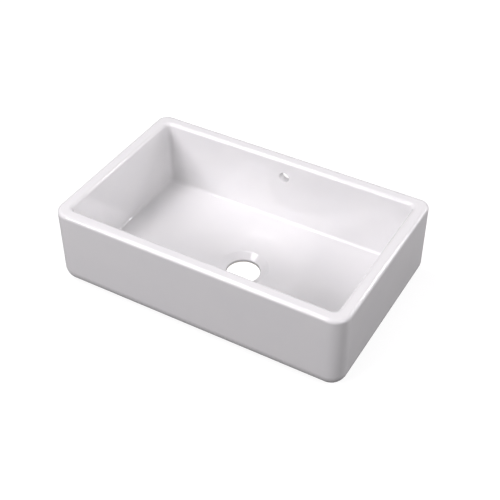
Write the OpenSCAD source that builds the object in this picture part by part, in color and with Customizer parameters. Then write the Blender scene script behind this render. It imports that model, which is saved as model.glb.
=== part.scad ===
/* [Body] */
// Overall length, left to right
body_l = 795; // [600:1:1000]
// Overall depth, front face to back face
body_d = 500; // [400:1:600]
// Overall height, base to rim
body_h = 220; // [150:1:300]
// Thickness of the four walls at the rim
wall_t = 34; // [24:1:50]
// Radius of the two upright corners at the front
front_corner_r = 41; // [26:1:70]
// Radius of the two upright corners at the back
back_corner_r = 29; // [24:1:70]
// Radius of the edge round the base
base_edge_r = 40; // [4:1:50]

/* [Rim] */
// Radius of the outer edge of the rim
rim_outer_r = 10; // [2:0.5:12]
// Radius of the inner edge of the rim
rim_inner_r = 10; // [2:0.5:12]

/* [Basin] */
// Thickness of the floor where it meets the walls
floor_t = 30; // [26:0.5:45]
// How far each inner wall leans in from the rim to the floor
wall_lean = 3.5; // [0:0.5:8]
// Radius of the four upright corners of the basin at the rim
basin_corner_r = 15; // [14:1:60]
// Radius of the cove between the walls and the floor
cove_r = 8; // [4:1:14]
// How far the floor falls from the walls to the waste recess
floor_fall = 12; // [2:0.5:12]

/* [Waste] */
// Bore for the waste fitting
waste_bore_d = 90; // [50:1:120]
// Place of the waste along the length, from the middle
waste_x = 0; // [-120:1:120]
// Place of the waste along the depth, from the middle
waste_y = 0; // [-50:1:50]
// Depth of the recess that takes the flange of the waste
recess_depth = 10; // [3:0.5:10.5]
// Width of the seat round the bore, out to the sloping side of the recess
seat_w = 3; // [3:0.5:15]
// Width of the sloping side of the recess
recess_side_w = 18.5; // [11:0.5:24]
// Radius of the bends at the foot and at the top of that side
recess_bend_r = 4.5; // [2:0.5:12]
// Radius of the upper edge of the bore
waste_edge_r = 2; // [0.5:0.25:2.5]

/* [Overflow] */
// Bore through the back wall
overflow_bore_d = 27; // [18:0.5:34]
// Axis of the overflow below the rim
overflow_drop = 51; // [48:1:70]
// Radius of the edge of the bore in the basin
overflow_edge_r = 3; // [1:0.25:5]
// Wall left at the overflow, for its fitting to clamp
overflow_wall_t = 20; // [12:0.5:22]
// Pocket in the back face that takes the back of the fitting
pocket_d = 64; // [50:1:80]
// Radius of the corner at the bottom of the pocket
pocket_cove_r = 5; // [1:0.5:7]
// Radius of the edge of the pocket at the back face
pocket_edge_r = 3; // [1:0.5:5]

/* [Hidden] */
$fn = 96;
// Segments of the very large circles that shape the fall of the floor
fine_fn = 2880;
// How far a cutting shape runs past the face that it opens
past = 20;
glaze = [0.95, 0.95, 0.96];

// Angle of the inner walls, and their half distances from the middle at the rim
lean_angle = atan(wall_lean / (body_h - floor_t));
basin_x = body_l / 2 - wall_t;
basin_y = body_d / 2 - wall_t;
// Distance from a basin corner's upright centre line to the wall at a height z
function wall_at(z) = basin_corner_r - wall_lean * (body_h - z) / (body_h - floor_t);
// The cove is never rounder than the basin's own corner leaves room for
cove = min(cove_r, basin_corner_r - wall_lean - 0.5);
cove_x = wall_at(floor_t + cove) - cove / cos(lean_angle);
lip_x = wall_at(body_h - rim_inner_r) + rim_inner_r / cos(lean_angle);

waste_r = waste_bore_d / 2;
seat_z = floor_t - floor_fall - recess_depth;
seat_r = waste_r + seat_w;
recess_r = seat_r + recess_side_w;
recess_slope = atan(recess_depth / recess_side_w);
// The bend at the foot is never wider than the seat leaves room for beside the edge of the bore
recess_bend = min(recess_bend_r, (seat_w - waste_edge_r) / tan(recess_slope / 2));
recess_reach = recess_bend * tan(recess_slope / 2);
// The fall starts on a circle that just clears the coves of the nearer walls
fall_gap = 2;
flat_x = basin_x - wall_lean - cove - abs(waste_x);
flat_y = basin_y - wall_lean - cove - abs(waste_y);
fall_r = min(flat_x, flat_y) - fall_gap;

overflow_r = overflow_bore_d / 2;
overflow_z = body_h - overflow_drop;
overflow_y = basin_y - wall_lean * overflow_drop / (body_h - floor_t);
pocket_y = overflow_y + overflow_wall_t;

// Half section of the solid body, from the line at distance r inside a face out to that face.
// Where the base edge is rounder than r, the section starts part of the way up its arc.
module body_section(r) {
    intersection() {
        square([r, body_h]);
        union() {
            translate([-base_edge_r, 0]) square([r, body_h - rim_outer_r]);
            translate([0, base_edge_r]) square([r, body_h - base_edge_r - rim_outer_r]);
            translate([0, body_h / 2]) square([r - rim_outer_r, body_h / 2]);
            translate([r - base_edge_r, base_edge_r]) circle(r = base_edge_r);
            translate([r - rim_outer_r, body_h - rim_outer_r]) circle(r = rim_outer_r);
        }
    }
}

// A section carried straight along one side, facing the angle given
module side_run(angle, out, from, to) {
    rotate([0, 0, angle])
        translate([out, to, 0])
            rotate([90, 0, 0])
                linear_extrude(to - from) children();
}

// A section turned through a quarter circle at one corner
module corner_turn(x, y, angle) {
    translate([x, y, 0])
        rotate([0, 0, angle])
            rotate_extrude(angle = 90) children();
}

// The body's section across one width, carried straight through the whole of the other
module straight_body(width, run) {
    rotate([90, 0, 0])
        linear_extrude(run, center = true) {
            body_section(width / 2);
            mirror([1, 0]) body_section(width / 2);
        }
}

// The block, with its upright corners, its base edge and the outer edge of its rim
module outer_block() {
    front_x = body_l / 2 - front_corner_r;
    back_x = body_l / 2 - back_corner_r;
    front_y = body_d / 2 - front_corner_r;
    back_y = body_d / 2 - back_corner_r;
    intersection() {
        straight_body(body_l, body_d);
        rotate([0, 0, 90]) straight_body(body_d, body_l);
        union() {
            translate([-front_x, -body_d / 2, 0]) cube([2 * front_x, body_d / 2, body_h]);
            translate([-back_x, 0, 0]) cube([2 * back_x, body_d / 2, body_h]);
            translate([-body_l / 2, -front_y, 0]) cube([body_l, front_y + back_y, body_h]);
            corner_turn(front_x, -front_y, 270) body_section(front_corner_r);
            corner_turn(-front_x, -front_y, 180) body_section(front_corner_r);
            corner_turn(-back_x, back_y, 90) body_section(back_corner_r);
            corner_turn(back_x, back_y, 0) body_section(back_corner_r);
        }
    }
}

// Half section of the basin: floor, cove, leaning wall and the rounded lip of the rim
module basin_section() {
    lip_z = body_h - rim_inner_r;
    intersection() {
        square([lip_x, body_h + past]);
        union() {
            polygon([
                [0, floor_t],
                [cove_x, floor_t],
                [cove_x + cove * cos(lean_angle), floor_t + cove * (1 - sin(lean_angle))],
                [wall_at(body_h), body_h],
                [0, body_h]
            ]);
            translate([cove_x, floor_t + cove]) circle(r = cove);
            difference() {
                polygon([
                    [lip_x - rim_inner_r * cos(lean_angle), lip_z + rim_inner_r * sin(lean_angle)],
                    [lip_x, body_h],
                    [0, body_h]
                ]);
                translate([lip_x, lip_z]) circle(r = rim_inner_r);
            }
            translate([0, body_h]) square([lip_x, past]);
        }
    }
}

// The space inside the basin, above a level floor
module basin_space() {
    x = basin_x - basin_corner_r;
    y = basin_y - basin_corner_r;
    for (side = [0, 180]) {
        side_run(side, x, -y, y) basin_section();
        side_run(side + 90, y, -x, x) basin_section();
        rotate([0, 0, side]) corner_turn(x, y, 0) basin_section();
        rotate([0, 0, side]) corner_turn(-x, y, 90) basin_section();
    }
    translate([-x, -y, floor_t]) cube([2 * x, 2 * y, body_h - floor_t + past]);
}

// Half section of the recess, whose side is a cone that bends into the level above and below it
module recess_section(z_top) {
    foot = [seat_r, seat_z];
    top = [recess_r, z_top];
    along = recess_reach * [cos(recess_slope), sin(recess_slope)];
    outward = [sin(recess_slope), -cos(recess_slope)];
    across = [recess_reach, 0];
    up = [0, recess_bend];
    difference() {
        polygon([[0, seat_z], foot, top, top + [0, 1], [0, z_top + 1]]);
        difference() {
            polygon([
                foot - across + up,
                foot - across - [0, 1],
                foot + [1, -1],
                foot + along + outward
            ]);
            translate(foot - across + up) circle(r = recess_bend);
        }
    }
    difference() {
        polygon([[0, z_top], top - along, top + across, top + across + [0, 1], [0, z_top + 1]]);
        translate(top + across - up) circle(r = recess_bend);
    }
}

// Half section of a round dish whose side is one smooth S, level at both ends
module dish_section(r_in, z_in, r_out, z_out) {
    run = (r_out - r_in) / 2;
    rise = (z_out - z_in) / 2;
    bend_r = (run * run + rise * rise) / (2 * rise);
    translate([0, z_in]) square([r_in, z_out - z_in + 1]);
    translate([0, z_out]) square([r_out, 1]);
    intersection() {
        translate([r_in, z_in]) square([run, 2 * rise]);
        translate([r_in, z_in + bend_r]) circle(r = bend_r, $fn = fine_fn);
    }
    difference() {
        translate([r_in + run, z_in]) square([run, 2 * rise]);
        translate([r_out, z_out - bend_r]) circle(r = bend_r, $fn = fine_fn);
    }
}

// The fall of the floor, the recess for the waste flange and the bore below it
module waste_space() {
    translate([waste_x, waste_y, 0]) {
        rotate_extrude() dish_section(recess_r + recess_reach, floor_t - floor_fall, fall_r, floor_t);
        rotate_extrude() recess_section(floor_t - floor_fall);
        rotate_extrude() bore_flare(waste_r, waste_edge_r, seat_z);
        translate([0, 0, -past]) cylinder(r = waste_r, h = past + floor_t);
    }
}

// Half section of the rounded mouth of a bore at height z, open upwards past it
module bore_flare(r, edge, z) {
    difference() {
        translate([0, z - edge]) square([r + edge, edge + past]);
        translate([r + edge, z - edge]) circle(r = edge);
    }
}

// The overflow bore through the back wall, with its pocket in the back face
module overflow_space() {
    translate([0, 0, overflow_z]) {
        translate([0, overflow_y - past, 0])
            rotate([-90, 0, 0]) cylinder(r = overflow_r, h = past + overflow_wall_t + 1);
        translate([0, overflow_y + overflow_edge_r / cos(lean_angle), 0])
            rotate([90 - lean_angle, 0, 0])
                rotate_extrude() bore_flare(overflow_r, overflow_edge_r, overflow_edge_r);
        translate([0, body_d / 2, 0])
            rotate([-90, 0, 0]) rotate_extrude() pocket_section();
    }
}

// Half section of the pocket, from its bottom out past the back face at height 0
module pocket_section() {
    pocket_r = pocket_d / 2;
    pocket_depth = body_d / 2 - pocket_y;
    translate([0, -pocket_depth]) square([pocket_r - pocket_cove_r, pocket_depth + past]);
    translate([0, pocket_cove_r - pocket_depth])
        square([pocket_r, pocket_depth - pocket_cove_r + past]);
    translate([pocket_r - pocket_cove_r, pocket_cove_r - pocket_depth]) circle(r = pocket_cove_r);
    bore_flare(pocket_r, pocket_edge_r, 0);
}

// The fired body, one casting
module sink_body() {
    color(glaze)
        difference() {
            outer_block();
            basin_space();
            waste_space();
            overflow_space();
        }
}

sink_body();
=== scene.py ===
import math

import bpy
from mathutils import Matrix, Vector

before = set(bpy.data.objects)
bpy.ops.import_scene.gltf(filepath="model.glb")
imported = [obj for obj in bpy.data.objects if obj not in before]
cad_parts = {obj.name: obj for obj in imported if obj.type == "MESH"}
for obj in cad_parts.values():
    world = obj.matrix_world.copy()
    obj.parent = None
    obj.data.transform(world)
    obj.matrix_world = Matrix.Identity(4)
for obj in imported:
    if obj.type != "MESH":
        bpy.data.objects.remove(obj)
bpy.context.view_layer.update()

SCENE = bpy.context.scene
SCENE.view_settings.view_transform = "Standard"

# Camera, in the frame of the CAD model: metres, degrees and pixels of a 500 pixel frame
CAMERA_PLACE = (0.9893, -1.6879, 1.7736)
CAMERA_AZIMUTH = 29.85
CAMERA_ELEVATION = 40.89
CAMERA_CLIP = (0.01, 100.0)
FOCAL_PIXELS = 1016.3
FRAME_PIXELS = 500
SENSOR_MM = 36.0

# Colours, in linear light
GLAZE_COOL = (0.794, 0.792, 0.797, 1.0)
GLAZE_WARM = (0.806, 0.803, 0.804, 1.0)
BARE_CLAY = (0.62, 0.54, 0.44, 1.0)
CLAY_SPECKS = (0.36, 0.28, 0.21, 1.0)
WHITE = (1.0, 1.0, 1.0, 1.0)
# The lamps' light, whose faint cast the photo has everywhere
LAMP_COLOUR = (1.0, 0.965, 1.0)

# The glaze: its clouds of colour, and its gloss, which varies between two roughnesses
CLOUD_SCALE = 9.0
CLOUD_EDGES = (0.35, 0.65)
GLOSS_SCALE = 30.0
GLAZE_ROUGHNESS = (0.05, 0.11)
GLAZE_IOR = 1.5

# The unevenness of the fired surface, with its heights in metres: slow waves, small ripples and orange peel
WAVE_SCALE = 5.0
WAVE_HEIGHT = 0.0008
RIPPLE_SCALE = 45.0
RIPPLE_HEIGHT = 0.00005
PEEL_SCALE = 220.0
PEEL_HEIGHT = 0.00001

# The bare clay: its dark specks and its grain
SPECK_SCALE = 260.0
SPECK_EDGES = (0.62, 0.70)
GRAIN_SCALE = 600.0
GRAIN_HEIGHT = 0.0003
CLAY_ROUGHNESS = 0.85
CLAY_IOR = 1.4

# The glaze is wiped off below this height above the ground, and the line wanders below it by up to so much
GLAZE_LINE = 0.0022
GLAZE_LINE_SOFTNESS = 0.0002
GLAZE_LINE_WANDER = 0.0012
WANDER_SCALE = 35.0

FLOOR_HALF = 20.0
# The floor's own glow where it is seen, which keeps the background white beside the soft shadow.
# Out of the lamps' reach, between these distances, it rises to full white.
FLOOR_GLOW = 0.85
FLOOR_FADE = (1.2, 3.5)
FLOOR_SEEN_COLOUR = (0.25, 0.25, 0.25, 1.0)
FLOOR_BOUNCE_COLOUR = (0.04, 0.04, 0.04, 1.0)
# Half sizes of the patch of floor under the sink, whose full-white glow is painted light over the shade
# there and shows through the waste, and the softness of its edge
PAINTED_LIGHT_PATCH_HALF = (0.3, 0.16)
PAINTED_LIGHT_PATCH_SOFTNESS = 0.02

WORLD_FILL = 0.15
# The surroundings as the glaze reflects them: the floor, the walls of the studio and what is above them,
# and the upward parts of the unit directions between which the walls end
FLOOR_REFLECTED = 0.06
WALLS_REFLECTED = 0.35
SKY_REFLECTED = 0.58
WALLS_TOP = (0.25, 0.60)


def aim(obj, place, back):
    """Puts a camera or lamp at a place, with its back along the given direction."""
    obj.location = place
    obj.rotation_mode = "QUATERNION"
    obj.rotation_quaternion = (-Vector(back)).to_track_quat("-Z", "Y")


def direction(azimuth, elevation):
    """The unit vector towards an azimuth and elevation, where azimuth 0 is the front and 90 the right."""
    a = math.radians(azimuth)
    e = math.radians(elevation)
    return Vector((math.sin(a) * math.cos(e), -math.cos(a) * math.cos(e), math.sin(e)))


def make_camera():
    data = bpy.data.cameras.new("camera")
    data.sensor_width = SENSOR_MM
    data.lens = FOCAL_PIXELS * SENSOR_MM / FRAME_PIXELS
    data.clip_start, data.clip_end = CAMERA_CLIP
    camera = bpy.data.objects.new("camera", data)
    SCENE.collection.objects.link(camera)
    aim(camera, CAMERA_PLACE, direction(CAMERA_AZIMUTH, CAMERA_ELEVATION))
    SCENE.camera = camera


def empty_material(name):
    """A new material whose node tree holds nothing but its output."""
    material = bpy.data.materials.new(name)
    material.use_nodes = True
    tree = material.node_tree
    tree.nodes.clear()
    return material, tree, tree.nodes.new("ShaderNodeOutputMaterial")


def put(tree, socket, value):
    """Sets an input socket to a value, or links it where the value is an output."""
    if isinstance(value, bpy.types.NodeSocket):
        tree.links.new(value, socket)
    else:
        socket.default_value = value


def add(tree, kind, inputs=(), **settings):
    """Adds a node. Each input is a socket's name or number, with a value or an output to link to it."""
    node = tree.nodes.new("ShaderNode" + kind)
    for name, value in settings.items():
        setattr(node, name, value)
    for socket, value in inputs:
        put(tree, node.inputs[socket], value)
    return node


def noise(tree, coords, scale, detail):
    """Smooth noise around one half, with features of about one metre over the scale."""
    return add(tree, "TexNoise", [("Vector", coords), ("Scale", scale), ("Detail", detail)]).outputs["Fac"]


def maths(tree, operation, a, b):
    """The result of one operation on two values or outputs."""
    return add(tree, "Math", [(0, a), (1, b)], operation=operation).outputs[0]


def ramp(tree, value, low, high):
    """A smooth step from 0 at low to 1 at high."""
    step = add(tree, "MapRange", [("Value", value), ("From Min", low), ("From Max", high)],
               interpolation_type="SMOOTHSTEP")
    return step.outputs["Result"]


def between(tree, factor, at_zero, at_one):
    """A value that goes evenly from at_zero to at_one as the factor goes from 0 to 1."""
    step = add(tree, "MapRange", [("Value", factor), ("To Min", at_zero), ("To Max", at_one)])
    return step.outputs["Result"]


def blend_colours(tree, factor, at_zero, at_one):
    """A colour that goes from at_zero to at_one as the factor goes from 0 to 1."""
    mix = add(tree, "Mix", data_type="RGBA")
    sockets = {socket.identifier: socket for socket in mix.inputs}
    put(tree, sockets["Factor_Float"], factor)
    put(tree, sockets["A_Color"], at_zero)
    put(tree, sockets["B_Color"], at_one)
    return next(socket for socket in mix.outputs if socket.identifier == "Result_Color")


def blend_shaders(tree, factor, at_zero, at_one):
    """A shader that goes from at_zero to at_one as the factor goes from 0 to 1."""
    return add(tree, "MixShader", [("Fac", factor), (1, at_zero), (2, at_one)]).outputs[0]


def uneven_height(tree, coords):
    """The height of the fired surface above its true form, in metres."""
    waves = maths(tree, "MULTIPLY", noise(tree, coords, WAVE_SCALE, detail=1.0), WAVE_HEIGHT)
    ripples = maths(tree, "MULTIPLY", noise(tree, coords, RIPPLE_SCALE, detail=1.0), RIPPLE_HEIGHT)
    peel = maths(tree, "MULTIPLY", noise(tree, coords, PEEL_SCALE, detail=2.0), PEEL_HEIGHT)
    return maths(tree, "ADD", waves, maths(tree, "ADD", ripples, peel))


def glaze_shader(tree, coords):
    """White glaze with faint clouds and unevenness."""
    clouds = ramp(tree, noise(tree, coords, CLOUD_SCALE, detail=3.0), *CLOUD_EDGES)
    colour = blend_colours(tree, clouds, GLAZE_COOL, GLAZE_WARM)
    roughness = between(tree, noise(tree, coords, GLOSS_SCALE, detail=2.0), *GLAZE_ROUGHNESS)
    bump = add(tree, "Bump", [("Height", uneven_height(tree, coords)), ("Distance", 1.0)])
    shader = add(tree, "BsdfPrincipled", [("Base Color", colour), ("Roughness", roughness),
                                          ("IOR", GLAZE_IOR), ("Normal", bump.outputs["Normal"])])
    return shader.outputs["BSDF"]


def clay_shader(tree, coords):
    """The matt, speckled clay of the body, where it has no glaze."""
    specks = ramp(tree, noise(tree, coords, SPECK_SCALE, detail=2.0), *SPECK_EDGES)
    colour = blend_colours(tree, specks, BARE_CLAY, CLAY_SPECKS)
    grain = noise(tree, coords, GRAIN_SCALE, detail=4.0)
    bump = add(tree, "Bump", [("Height", grain), ("Distance", GRAIN_HEIGHT)])
    shader = add(tree, "BsdfPrincipled", [("Base Color", colour), ("Roughness", CLAY_ROUGHNESS),
                                          ("IOR", CLAY_IOR), ("Normal", bump.outputs["Normal"])])
    return shader.outputs["BSDF"]


def glaze_material():
    """The glaze, and the bare clay of the wiped underside below its wandering line."""
    material, tree, output = empty_material("white_glaze")
    coords = add(tree, "TexCoord").outputs["Object"]
    height = add(tree, "SeparateXYZ", [("Vector", coords)]).outputs["Z"]
    wander = maths(tree, "MULTIPLY", noise(tree, coords, WANDER_SCALE, detail=2.0), GLAZE_LINE_WANDER)
    wandering_height = maths(tree, "ADD", height, wander)
    glazed = ramp(tree, wandering_height, GLAZE_LINE, GLAZE_LINE + GLAZE_LINE_SOFTNESS)
    both = blend_shaders(tree, glazed, clay_shader(tree, coords), glaze_shader(tree, coords))
    tree.links.new(both, output.inputs["Surface"])
    return material


def seen_directly(tree):
    """1 for what the camera sees, also in a reflection or through glass, and 0 for bounced light."""
    path = add(tree, "LightPath")
    camera_or_gloss = maths(tree, "MAXIMUM", path.outputs["Is Camera Ray"], path.outputs["Is Glossy Ray"])
    return maths(tree, "MAXIMUM", camera_or_gloss, path.outputs["Is Transmission Ray"])


def seen_plainly(tree):
    """1 for what the camera sees itself or through glass, and 0 for reflections and bounced light."""
    path = add(tree, "LightPath")
    return maths(tree, "MAXIMUM", path.outputs["Is Camera Ray"], path.outputs["Is Transmission Ray"])


def floor_glow(tree):
    """The floor's own glow as it is seen: full white far away, and painted light in full white in the patch
    under the sink, over the shade there.
    """
    coords = add(tree, "TexCoord").outputs["Object"]
    place = add(tree, "SeparateXYZ", [("Vector", coords)])
    # The patch under the sink glows in full white: painted light over the shade there
    outside = [ramp(tree, maths(tree, "ABSOLUTE", place.outputs[axis], 0.0), half, half + PAINTED_LIGHT_PATCH_SOFTNESS)
               for axis, half in zip("XY", PAINTED_LIGHT_PATCH_HALF)]
    distance = add(tree, "VectorMath", [(0, coords)], operation="LENGTH").outputs["Value"]
    near = maths(tree, "SUBTRACT", 1.0, ramp(tree, distance, *FLOOR_FADE))
    dimmed = maths(tree, "MULTIPLY", maths(tree, "MAXIMUM", *outside), near)
    return between(tree, dimmed, 1.0, FLOOR_GLOW)


def floor_material():
    """White where it is seen, with the object's soft shadow, and dim in the light that it bounces."""
    material, tree, output = empty_material("floor")
    strength = between(tree, seen_plainly(tree), FLOOR_REFLECTED, floor_glow(tree))
    glow = add(tree, "Emission", [("Color", WHITE), ("Strength", strength)])
    lit = add(tree, "BsdfDiffuse", [("Color", FLOOR_SEEN_COLOUR)])
    seen = add(tree, "AddShader", [(0, glow.outputs[0]), (1, lit.outputs[0])])
    bounce = add(tree, "BsdfDiffuse", [("Color", FLOOR_BOUNCE_COLOUR)])
    surface = blend_shaders(tree, seen_directly(tree), bounce.outputs[0], seen.outputs[0])
    tree.links.new(surface, output.inputs["Surface"])
    return material


def make_floor():
    mesh = bpy.data.meshes.new("floor")
    corners = [(-FLOOR_HALF, -FLOOR_HALF, 0), (FLOOR_HALF, -FLOOR_HALF, 0),
               (FLOOR_HALF, FLOOR_HALF, 0), (-FLOOR_HALF, FLOOR_HALF, 0)]
    mesh.from_pydata(corners, [], [(0, 1, 2, 3)])
    mesh.materials.append(floor_material())
    floor = bpy.data.objects.new("floor", mesh)
    SCENE.collection.objects.link(floor)


def make_world():
    """White where the camera sees it, greyer in reflections, and an even soft fill on the object."""
    world = bpy.data.worlds.new("studio")
    world.use_nodes = True
    tree = world.node_tree
    tree.nodes.clear()
    output = tree.nodes.new("ShaderNodeOutputWorld")
    outward = add(tree, "TexCoord").outputs["Generated"]
    height = add(tree, "SeparateXYZ", [("Vector", outward)]).outputs["Z"]
    reflected = between(tree, ramp(tree, height, *WALLS_TOP), WALLS_REFLECTED, SKY_REFLECTED)
    strength = maths(tree, "MAXIMUM", seen_plainly(tree), reflected)
    seen = add(tree, "Background", [("Color", WHITE), ("Strength", strength)])
    fill = add(tree, "Background", [("Color", WHITE), ("Strength", WORLD_FILL)])
    surface = blend_shaders(tree, seen_directly(tree), fill.outputs[0], seen.outputs[0])
    tree.links.new(surface, output.inputs["Surface"])
    SCENE.world = world


def make_softbox(name, place, size, brightness):
    """A panel of light that faces the middle of the sink's base.

    Its place is an azimuth, an elevation and a distance, and its size is a width and a height.
    A brightness of 1 is that of a face which shows as plain white.
    """
    azimuth, elevation, distance = place
    width, height = size
    data = bpy.data.lights.new(name, "AREA")
    data.shape = "RECTANGLE"
    data.size = width
    data.size_y = height
    data.energy = brightness * math.pi * width * height
    data.color = LAMP_COLOUR
    lamp = bpy.data.objects.new(name, data)
    lamp.visible_camera = False
    SCENE.collection.objects.link(lamp)
    back = direction(azimuth, elevation)
    aim(lamp, back * distance, back)


make_camera()
make_floor()
make_world()
make_softbox("key", place=(332.5, 32.5, 5.4), size=(2.8, 1.4), brightness=14.1)
make_softbox("upper_left", place=(303, 64.5, 4.4), size=(1.2, 1.0), brightness=9.0)
make_softbox("right", place=(74, 34, 3.9), size=(1.8, 0.8), brightness=9.0)
make_softbox("back_right", place=(136, 15, 2.7), size=(1.2, 1.0), brightness=4.3)
make_softbox("back_right_strip", place=(140.5, 34.8, 4.2), size=(0.45, 0.7), brightness=21.0)
make_softbox("overhead", place=(262, 72, 5.1), size=(0.55, 2.45), brightness=14.2)

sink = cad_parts["sink_body"]
glaze = glaze_material()
for slot in sink.material_slots:
    slot.material = glaze
